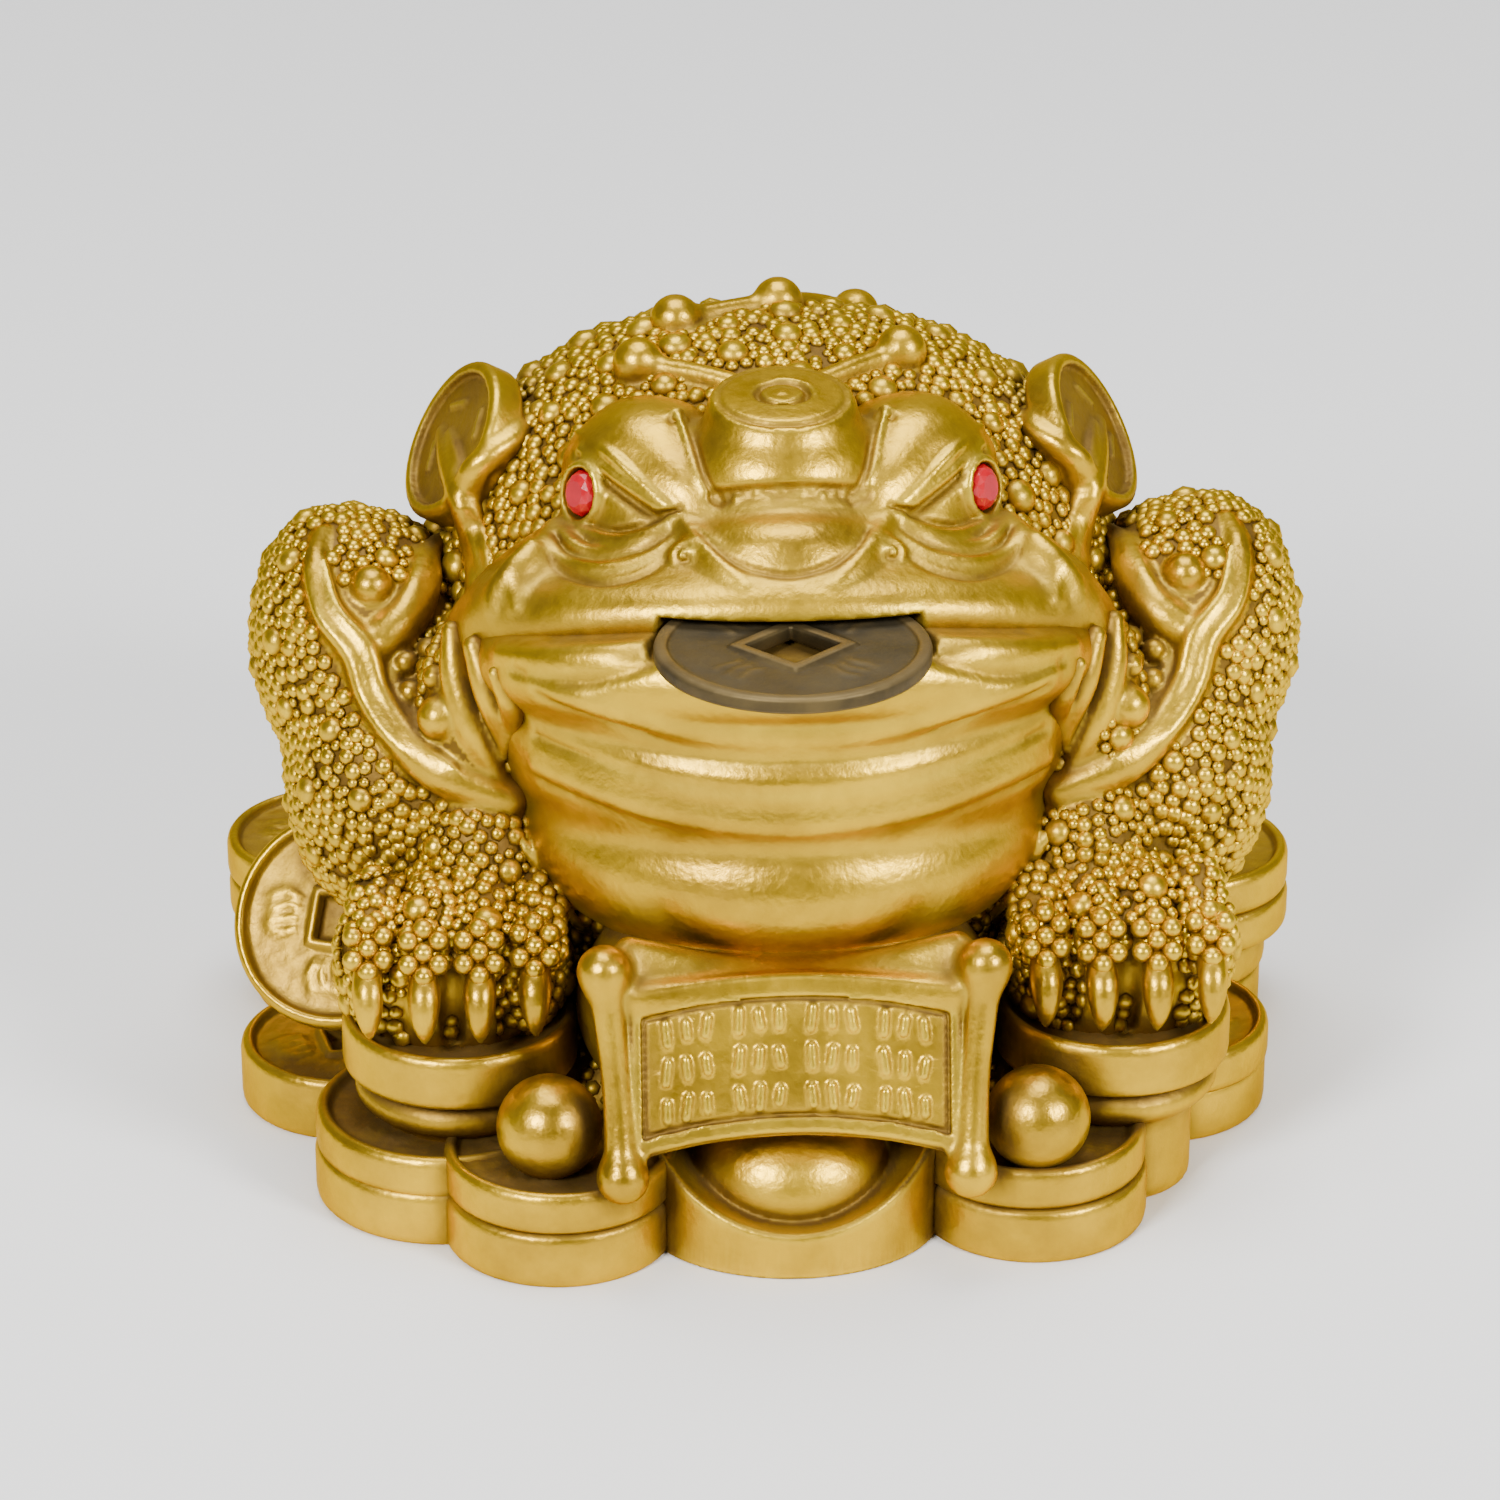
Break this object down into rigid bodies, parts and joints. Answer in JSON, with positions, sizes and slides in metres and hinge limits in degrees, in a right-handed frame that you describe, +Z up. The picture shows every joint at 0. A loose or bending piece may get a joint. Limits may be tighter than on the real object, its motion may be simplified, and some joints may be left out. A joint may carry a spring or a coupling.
{
  "type": "figurine",
  "caption": "Cast toad figure with warty skin, looking up, squatting on a heap of coins with a loose coin held in its open mouth, a scroll below its belly and set gem eyes.",
  "frame": {"origin": "on the flat underside, below the middle of the ring of coins", "axes": "+Z up, the toad faces -Y, +X to the right of a viewer who looks at its face"},
  "size_m": [0.1017, 0.0995, 0.0727],
  "materials": {
    "gold_resin": "satin",
    "coin_bronze": "satin",
    "red_gem": "gloss"
  },
  "bodies": {
    "root": {"toad_casting": "gold_resin", "mouth_coin": "coin_bronze", "eye_gem_left": "red_gem", "eye_gem_right": "red_gem"}
  },
  "joints": []
}
